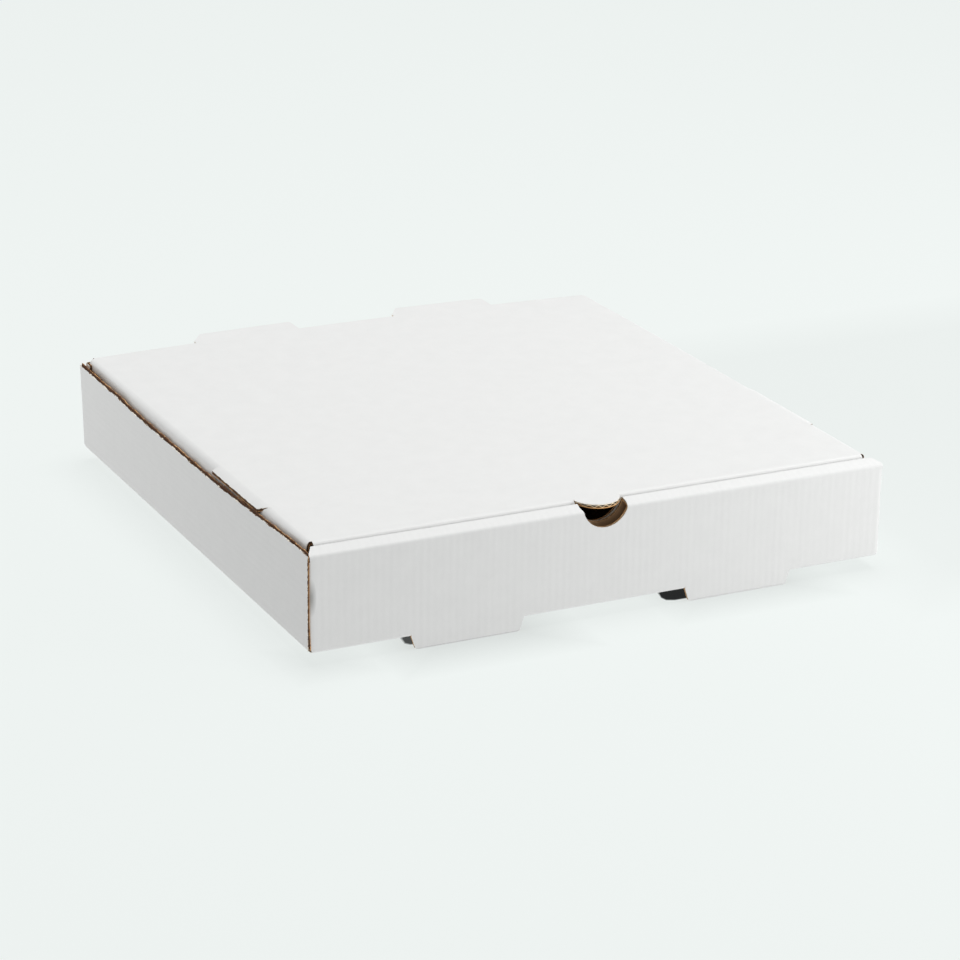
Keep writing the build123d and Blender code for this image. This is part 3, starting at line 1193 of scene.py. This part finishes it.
@dataclass
class PizzaBox:
    """The whole box: tray, lid and the creased fold between them.

    A foot's rounded corner goes from its side to its tip, in shares of the corner's radius.
    """

    papers: Papers
    stock: BoardStock = BoardStock()
    sizes: BoxSizes = BoxSizes()
    right_wall_set_back: float = 6.0
    tongue_waste: float = 2.3
    back_tab_slant: float = 7.0
    notch_steps: int = 18
    tongue_steps: int = 20
    foot_round: tuple[Spot, ...] = ((0.23, 1.0), (-0.07, 0.3), (-1.0, 0.0))

    def foot(self, centre: float, fold: float, way: float) -> Tab:
        """Foot that stays in line with a wall when the bottom folds up from it.

        Args:
            centre: middle of the foot, across the box.
            fold: where the wall's fold starts in the flat blank.
            way: +1 where the wall is folded at the back, and -1 at the front.

        Returns:
            The foot, with the slot that it leaves in the bottom.
        """
        s = self.sizes
        half, tip = s.foot_half, s.foot_half - s.foot_taper
        root = s.tray_run
        shoulder = root - s.tray_fold
        foot_end = shoulder - s.floor_under
        slot_end = -(s.roll_depth + s.slot_clearance - s.tray_fold)

        def outline(halves: list[Spot]) -> Outline:
            """Join points (distance from the middle, run past the fold) on both sides."""
            right = [(centre + u, fold + way * run) for u, run in halves]
            left = [(centre - u, fold + way * run) for u, run in halves]
            return Outline(tuple(right + left[::-1]))

        corner = s.foot_corner
        rounded = [(tip + u * corner, foot_end + v * corner) for u, v in self.foot_round]
        foot = outline([(half, root), (half, shoulder), *rounded])
        slot = outline([(half, root), (half, shoulder), (tip, slot_end)])
        return Tab(FOOT, foot, abs(fold + way * root), slot)

    def tray(self) -> TrayBlank:
        """Bottom, walls, corner flaps, rolled front and feet.

        Returns:
            The tray's blank.
        """
        s = self.sizes
        run, fold = s.tray_run, s.tray_fold
        near, far = s.front + fold, s.back - fold
        lean = math.degrees(math.atan2(s.roll_depth, s.roll_top - s.front_crease))
        slant = math.hypot(s.roll_depth, s.roll_top - s.front_crease)
        first = fold * math.tan(math.radians(lean / 2))
        second = fold * math.tan(math.radians((180 - lean) / 2))
        wall = near - run - (s.front_crease - first - s.wall_root)
        strip = wall - fold * math.radians(lean)
        turn = strip - (slant - first - second)
        inner = turn - fold * math.radians(180 - lean)
        inner_bottom = s.floor_under + s.board + s.inner_panel_gap
        inner_end = inner - (s.roll_top - second - inner_bottom)
        lock_end = inner_end - (inner_bottom - (s.floor_under - s.lock_tab_drop))
        front_root, back_root = near - run, far + run
        flap_width = s.flap_top - s.wall_root
        edge = s.bottom_edge
        flap_edge = s.panel_half + run + s.corner_flap - fold
        back_top = back_root + s.lid_top - s.hinge_fold - s.wall_root
        panels = [
            Patch(-edge, edge, near, far),
            Patch(-edge - run, edge + run, near, far),
            Patch(-s.fold_half, s.fold_half, front_root, near),
            Patch(-s.fold_half, s.fold_half, far, back_root),
            Patch(-s.panel_half, s.panel_half, wall, front_root),
            Patch(-s.strip_half, s.strip_half, inner, wall),
            Patch(-s.inner_half, s.inner_half, inner_end, inner),
            Patch(-s.panel_half, s.panel_half, back_root, back_top),
        ]
        for way in (-1.0, 1.0):
            wall_front = s.front + (self.right_wall_set_back if way > 0 else 0.0)
            foot = s.foot_from_centre
            for inside, outside, *ends in (
                (edge + run, s.wall_edge, wall_front, s.back),
                (s.panel_half, flap_edge, front_root - flap_width, front_root),
                (s.panel_half, s.strip_half, wall, front_root - flap_width),
                (s.panel_half, flap_edge, back_root, back_top),
                (foot - s.lock_tab_half, foot + s.lock_tab_half, lock_end, inner_end),
            ):
                panels.append(Patch(*sorted((way * inside, way * outside)), *ends))

        front_roll = Patch(-s.strip_half - SLACK, s.strip_half + SLACK, far=near)
        front = (front_roll, Patch(far=s.front - PARTING))
        back_wall = Patch(-s.fold_half - SLACK, s.fold_half + SLACK, near=far)
        back = (back_wall, Patch(near=s.back + PARTING))
        front_flaps = Patch(near=front_root - flap_width - HAIR, far=front_root + HAIR)
        flaps = (front_flaps, Patch(near=back_root - HAIR))
        between = (Patch(near=s.front - SLACK, far=s.back + SLACK),)
        creases = [
            *(Crease(s.panel_half, way, 90.0, fold, flaps) for way in SIDEWAYS),
            Crease(-turn, FORWARD, 180.0 - lean, fold, (Patch(),)),
            Crease(-wall, FORWARD, lean, fold, (Patch(),)),
            Crease(-near, FORWARD, 90.0, fold, front, takes_tab=FOOT),
            Crease(far, BACKWARD, 90.0, fold, back, takes_tab=FOOT),
            *(Crease(edge, way, 90.0, fold, between) for way in SIDEWAYS),
        ]

        front_top = flap_width + LONG_OVERCUT
        back_over = abs(back_top - back_root) + OVERCUT
        holes = self.flap_trims(front_root, -1.0, flap_width, front_top, 0.0, flap_edge)
        holes += self.flap_trims(back_root, 1.0, flap_width, back_over, s.back_shoulder, flap_edge)
        slanted = ((s.strip_half, strip), (s.inner_half, turn - s.wedge_gap))
        wedge = Outline((*slanted, (s.inner_half, inner), (s.strip_half, inner)))
        vent_bottom = back_root + s.vent_bottom - s.wall_root
        vent_left, vent_right = s.back_tab_inner - s.vent_gap, s.back_tab_outer + s.vent_gap
        vent = box_outline(vent_left, vent_right, vent_bottom, back_top)
        holes += [wedge, wedge.mirrored(), vent, vent.mirrored()]
        holes.append(self.notch(front_root, (strip + turn) / 2, inner))
        feet = []
        for centre in (-s.foot_from_centre, s.foot_from_centre):
            feet += [self.foot(centre, near, -1.0), self.foot(centre, far, 1.0)]
        return TrayBlank(
            "tray", self.stock, Inside.ABOVE, s.floor_under, panels, creases, holes, feet, sizes=s
        )

    def flap_trims(
        self, root: float, way: float, width: float, top: float, shoulder: float, free_end: float
    ) -> list[Outline]:
        """Cut a pair of corner flaps down to their height and taper their free ends.

        Args:
            root: where the wall comes out of its fold in the flat blank.
            way: +1 at the back wall and -1 at the front wall.
            width: the flap's width.
            top: how far the uncut flap reaches from the root.
            shoulder: how far the flap keeps the wall's height past its fold.
            free_end: the flap's free end.

        Returns:
            The knife lines.
        """
        s = self.sizes
        start = s.panel_half + s.tray_run
        middle = start + s.corner_flap / 2 - s.tray_fold
        rise = s.corner_flap * math.tan(math.radians(s.corner_flap_slope)) / 2
        line = root + way * width
        low, high = sorted((line, root + way * top))
        trims = [
            box_outline(start + shoulder, free_end + OVERCUT, low, high),
            Outline(((middle, line), (free_end, line - way * rise), (free_end, line))),
            Outline(((middle, root), (free_end, root + way * rise), (free_end, root))),
        ]
        return trims + [trim.mirrored() for trim in trims]

    def notch(self, wall_foot: float, strip_middle: float, inner: float) -> Outline:
        """Finger notch, punched through the front wall, the strip and the inner panel.

        Args:
            wall_foot: where the front wall starts in the flat blank.
            strip_middle: middle of the top strip.
            inner: where the inner panel starts.

        Returns:
            The hole's outline.
        """
        s = self.sizes
        steps, middle, radius = self.notch_steps, s.notch_middle, s.notch_radius

        def arc(top: float, foot: float, way: float) -> list[Spot]:
            """Points of the arc below a height, where foot is the flat place of height 0."""
            start = math.acos((s.notch_centre - top) / radius)
            points = []
            for i in range(steps + 1):
                angle = -way * (start - 2 * start * i / steps)
                height = s.notch_centre - radius * math.cos(angle)
                points.append((middle + radius * math.sin(angle), foot + way * height))
            return points

        outer = arc(s.front_crease - s.board, wall_foot + s.wall_root, -1.0)
        inner_top = s.roll_top - s.inner_notch_drop
        inside = arc(inner_top, inner - inner_top, 1.0)
        left, right = (middle - radius, strip_middle), (middle + radius, strip_middle)
        return Outline((*outer, left, *inside, right))

    def lid(self) -> LidBlank:
        """Top panel, three tucked flaps, tongue and tabs.

        Returns:
            The lid's blank.
        """
        s = self.sizes
        lean = 90.0 + s.lid_flap_lean
        tangent = s.lid_fold * math.tan(math.radians(lean / 2))
        near = s.lid_front + tangent
        front_run = s.lid_fold * math.radians(lean)
        front_flap = s.lid_flap / math.cos(math.radians(s.lid_flap_lean)) - tangent
        front_end = near - front_run - front_flap
        hinge = s.back - s.hinge_fold
        side_near = s.lid_front + s.lid_fold + s.lid_corner_gap
        side_far = s.hinge_y - s.hinge_end_gap
        half, root = s.lid_flat_half, s.lid_flat_half + s.lid_run
        flap_edge = root + s.lid_flap - s.lid_fold
        back_end = s.hinge_y + s.back_tab_reach
        panels = [
            Patch(-half, half, near, hinge),
            Patch(-half, half, front_end, near),
            Patch(-flap_edge, -half, side_near, side_far),
            Patch(half, flap_edge, side_near, side_far),
            Patch(s.back_tab_inner, s.back_tab_outer, hinge, back_end),
            Patch(-s.back_tab_outer, -s.back_tab_inner, hinge, back_end),
        ]
        sides = (Patch(near=side_near - SLACK, far=side_far + SLACK),)
        front = (Patch(-half - SLACK, half + SLACK, far=near),)
        fold = s.lid_fold
        creases = [
            *(Crease(half, way, 90.0, fold, sides, leaves_tab=SIDE_TAB) for way in SIDEWAYS),
            Crease(-near, FORWARD, lean, fold, front, leaves_tab=TONGUE),
        ]
        cut_back = (s.lid_flap - s.lid_fold) * math.tan(math.radians(s.lid_flap_slope))
        trims = [
            Outline(((root, end), (flap_edge, end), (flap_edge, end + way * cut_back)))
            for end, way in ((side_near, 1.0), (side_far, -1.0))
        ]
        holes = trims + [trim.mirrored() for trim in trims]
        for left in (-s.back_tab_outer, s.back_tab_inner):
            tip = left + self.back_tab_slant
            holes.append(Outline(((left, s.back), (tip, back_end), (left, back_end))))
            right = left + s.back_tab_outer - s.back_tab_inner
            corner = s.back_tab_corner / 2
            bevel = ((right, back_end), (right - corner, back_end), (right, back_end - corner))
            holes.append(Outline(bevel))
        tab_front = s.front + s.side_tab_start
        tab_back = tab_front + s.side_tab_length
        slanted = ((half, tab_front), (s.side_tab_edge, tab_front + s.side_tab_slant))
        side_tab = Outline((*slanted, (s.side_tab_edge, tab_back), (half, tab_back)))
        tabs = [
            Tab(TONGUE, self.tongue(near, 0.0), abs(near), self.tongue(near, self.tongue_waste)),
            Tab(SIDE_TAB, side_tab, NO_ROOT),
            Tab(SIDE_TAB, side_tab.mirrored(), NO_ROOT),
        ]
        return LidBlank(
            "lid", self.stock, Inside.BELOW, s.lid_top, panels, creases, holes, tabs, sizes=s
        )

    def tongue(self, root: float, waste: float) -> Outline:
        """Half-round tongue over the finger notch, or the larger hole that it leaves.

        Args:
            root: where the lid's front fold starts, which is the tongue's root.
            waste: how far the outline runs past the tongue's tip.

        Returns:
            The outline.
        """
        s = self.sizes
        steps = self.tongue_steps
        centre = s.front + s.tongue_setback + s.tongue_radius - waste
        start = math.acos(max(centre - root, 0.0) / s.tongue_radius)
        arc = []
        for i in range(steps + 1):
            angle = -start + 2 * start * i / steps
            u = s.notch_middle + s.tongue_radius * math.sin(angle)
            arc.append((u, centre - s.tongue_radius * math.cos(angle)))
        arc[0], arc[-1] = (arc[0][0], root), (arc[-1][0], root)
        return Outline(tuple(arc))

    def hinge_strips(self) -> HingeBlank:
        """Strips of board between the back tabs, bent from the back wall into the lid.

        Returns:
            The strips' blank.
        """
        s = self.sizes
        start = s.back - s.hinge_fold
        end = start + s.hinge_fold * QUARTER
        inner, outer = s.back_tab_inner - s.vent_gap, s.back_tab_outer + s.vent_gap
        panels = [
            Patch(-s.lid_flat_half, -outer, start, end),
            Patch(-inner, inner, start, end),
            Patch(outer, s.lid_flat_half, start, end),
        ]
        creases = [Crease(start, BACKWARD, 90.0, s.hinge_fold, (Patch(near=start),))]
        return HingeBlank(
            "hinge_fold", self.stock, Inside.BELOW, s.lid_top, panels, creases, sizes=s
        )

    def build(self) -> None:
        """Make the three blanks, and fasten the tray's and the lid's plies to their bodies; the
        hinge strips' plies are fastened to none.
        """
        whites = {"tray": TRAY_WHITE, "lid": LID_WHITE}
        for blank, body in ((self.tray(), "tray"), (self.lid(), "lid")):
            for ply in Ply:
                thing = blank.make(ply)
                self.papers.dress(thing, ply, whites[body])
                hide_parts(body)
                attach(thing, body)
                log.info("%s: %d faces", thing.name, len(thing.data.polygons))
        strips = self.hinge_strips()
        for ply in Ply:
            thing = strips.make(ply)
            self.papers.dress(thing, ply, LID_WHITE)
            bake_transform(thing)
            log.info("%s: %d faces", thing.name, len(thing.data.polygons))


# Stage, light and camera


@dataclass(frozen=True)
class SoftBox:
    """A square light with a soft face, aimed at a point."""

    name: str
    place: Place
    aim: Place
    width: float
    watts: float

    def hang(self) -> None:
        """Hang the light up."""
        lamp = bpy.data.lights.new(self.name, "AREA")
        lamp.size = self.width
        lamp.energy = self.watts
        away = Vector(self.place) - Vector(self.aim)
        turn = away.to_track_quat("Z", "Y").to_matrix().to_4x4()
        thing = put(self.name, lamp)
        thing.matrix_world = Matrix.Translation(self.place) @ turn
        thing.visible_camera = False


@dataclass(frozen=True)
class FloorShade:
    """Soft patch of shade on the floor, which fades out over a feather past its corners."""

    corners: tuple[Spot, ...]
    dark: float
    feather: float

    def add(self, mesh: Sheet, shade: bmesh.types.BMLayerItem, height: float) -> None:
        """Add the patch to a mesh.

        Args:
            mesh: the mesh, in millimetres.
            shade: vertex layer of how dark the patch is.
            height: the patch's height over the floor.
        """
        middle = [sum(places) / len(places) for places in zip(*self.corners)]
        inner, outer = [], []
        for corner in self.corners:
            vert = mesh.verts.new((*corner, height))
            vert[shade] = self.dark
            inner.append(vert)
            faded = [c + math.copysign(self.feather, c - m) for c, m in zip(corner, middle)]
            outer.append(mesh.verts.new((*faded, height)))
        mesh.faces.new(inner)
        for i in range(len(inner)):
            mesh.faces.new((inner[i - 1], inner[i], outer[i], outer[i - 1]))


def stage_material(name: str) -> tuple[bpy.types.Material, NodeSheet, bpy.types.Node]:
    """Start a material for the stage, and return it with its node tree and its shader."""
    made = bpy.data.materials.new(name)
    made.use_nodes = True
    return made, NodeSheet(made.node_tree), made.node_tree.nodes["Principled BSDF"]


def stand(name: str, mesh: Sheet, made: bpy.types.Material) -> bpy.types.Object:
    """Stand a piece of the stage in the scene, which is no part of the box."""
    thing = put(name, to_data(mesh, name))
    thing.data.materials.append(made)
    return thing


@dataclass
class Studio:
    """Pale floor, soft light and the photograph's camera."""

    floor_colour: Colour = (0.855, 0.896, 0.880)
    floor_glow: float = 0.80
    floor_size: float = 30.0
    sky: float = 0.435
    flag_place: Place = (-1.0, -0.15, 0.16)
    flag_size: Spot = (1.1, 0.32)
    shade_rise: float = 0.2
    shades: tuple[FloorShade, ...] = (
        FloorShade(((190, -170), (420, -170), (420, 160), (190, 160)), 0.045, 60.0),
        FloorShade(((-150, -163), (-138, -163), (-138, -150), (-150, -150)), 0.04, 18.0),
        FloorShade(((-90, -163), (-46, -163), (-46, -157), (-90, -157)), 0.13, 32.0),
        FloorShade(((50, -163), (100, -163), (100, -157), (50, -157)), 0.08, 26.0),
        FloorShade(
            ((-95.2, -145.9), (-98.9, -145.4), (-100.6, -148.5), (-101.4, -153.2),
             (-99.6, -155.5), (-96.0, -156.5)), 0.9, 1.2,
        ),
        FloorShade(
            ((56.0, -145.2), (40.4, -145.8), (36.2, -147.8), (34.6, -153.0),
             (35.4, -156.6), (39.2, -158.3), (56.0, -158.5)), 0.97, 1.0,
        ),
    )
    boxes: tuple[SoftBox, ...] = (
        SoftBox("overhead", (0.50, 0.30, 3.40), (0.0, 0.0, 0.05), 2.4, 73.5),
        SoftBox("right side card", (0.75, 0.05, 0.55), (0.0, 0.0, 0.05), 0.5, 0.75),
        SoftBox("right front card", (0.50, -0.52, 0.14), (0.12, -0.16, 0.04), 0.25, 1.35),
        SoftBox("left back card", (-0.60, 0.40, 0.16), (-0.15, 0.10, 0.04), 0.25, 0.5),
    )
    sensor: float = 36.0
    focal_length: float = 121.06
    far_clip: float = 100.0
    camera_place: Place = (-0.680095, -1.411418, 0.588702)
    camera_axes: tuple[Place, Place, Place] = (
        (0.90007651, -0.43554285, 0.01283313),
        (0.13883356, 0.31457629, 0.9390245),
        (-0.41302241, -0.84341223, 0.34361069),
    )

    def floor(self) -> None:
        """Lay the floor, which glows a little so that shadows on it stay faint."""
        mesh = bmesh.new()
        bmesh.ops.create_grid(mesh, x_segments=2, y_segments=2, size=self.floor_size / 2)
        made, sheet, shader = stage_material("pale floor")
        matt = [channel * (1.0 - self.floor_glow) for channel in self.floor_colour]
        grey = [sum(self.floor_colour) / 3] * 3
        seen = sheet.add("ShaderNodeLightPath").outputs["Is Camera Ray"]
        sheet.set(
            shader,
            Base_Color=(*matt, 1.0),
            Roughness=0.9,
            Specular_IOR_Level=0.0,
            Emission_Color=sheet.blend(seen, grey, self.floor_colour),
            Emission_Strength=self.floor_glow,
        )
        stand("floor", mesh, made)

    def shade(self) -> None:
        """Lay the shade that gathers on the floor under the box and left of its front feet."""
        mesh = bmesh.new()
        layer = mesh.verts.layers.float.new("Shade")
        for number, shade in enumerate(self.shades, start=1):
            shade.add(mesh, layer, number * self.shade_rise)
        mesh.transform(Matrix.Scale(METRES, 4))
        made, sheet, shader = stage_material("floor shade")
        dark = sheet.add("ShaderNodeAttribute", attribute_name="Shade").outputs["Fac"]
        sheet.set(shader, Base_Color=(0.0, 0.0, 0.0, 1.0), Specular_IOR_Level=0.0, Alpha=dark)
        stand("floor shade", mesh, made).visible_diffuse = False

    def flag(self) -> None:
        """Stand a black flag on the left, which keeps light off the box's side."""
        mesh = bmesh.new()
        bmesh.ops.create_grid(mesh, x_segments=1, y_segments=1, size=0.5)
        turn = Matrix.Rotation(QUARTER, 4, "Y")
        length, height = self.flag_size
        size = Matrix.Diagonal((height, length, 1.0, 1.0))
        mesh.transform(Matrix.Translation(self.flag_place) @ turn @ size)
        made, sheet, shader = stage_material("black cloth")
        sheet.set(shader, Base_Color=(0.01, 0.01, 0.01, 1.0), Roughness=1.0)
        stand("black flag", mesh, made).visible_camera = False

    def lights(self) -> None:
        """Even light from all round, a broad soft box overhead and three low cards."""
        world = bpy.data.worlds.new("studio")
        world.use_nodes = True
        back = world.node_tree.nodes["Background"]
        NodeSheet(world.node_tree).set(back, Color=(1.0, 1.0, 1.0, 1.0), Strength=self.sky)
        bpy.context.scene.world = world
        for box in self.boxes:
            box.hang()

    def camera(self) -> None:
        """Stand the camera where the photograph was taken from."""
        lens = bpy.data.cameras.new("camera")
        lens.sensor_width = self.sensor
        lens.lens = self.focal_length
        lens.clip_end = self.far_clip
        thing = put("camera", lens)
        turn = Matrix(self.camera_axes).transposed().to_4x4()
        thing.matrix_world = Matrix.Translation(self.camera_place) @ turn
        bpy.context.scene.camera = thing

    def build(self) -> None:
        """Set up the studio."""
        self.floor()
        self.shade()
        self.flag()
        self.lights()
        self.camera()
        scene = bpy.context.scene
        scene.view_settings.view_transform = "Standard"
        scene.view_settings.look = "None"


def main() -> None:
    """Build the box and the studio."""
    logging.basicConfig(level=logging.INFO, format="%(name)s: %(message)s")
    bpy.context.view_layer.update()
    Studio().build()
    papers = Papers(Effects())
    PizzaBox(papers).build()


if __name__ == "__main__":
    main()
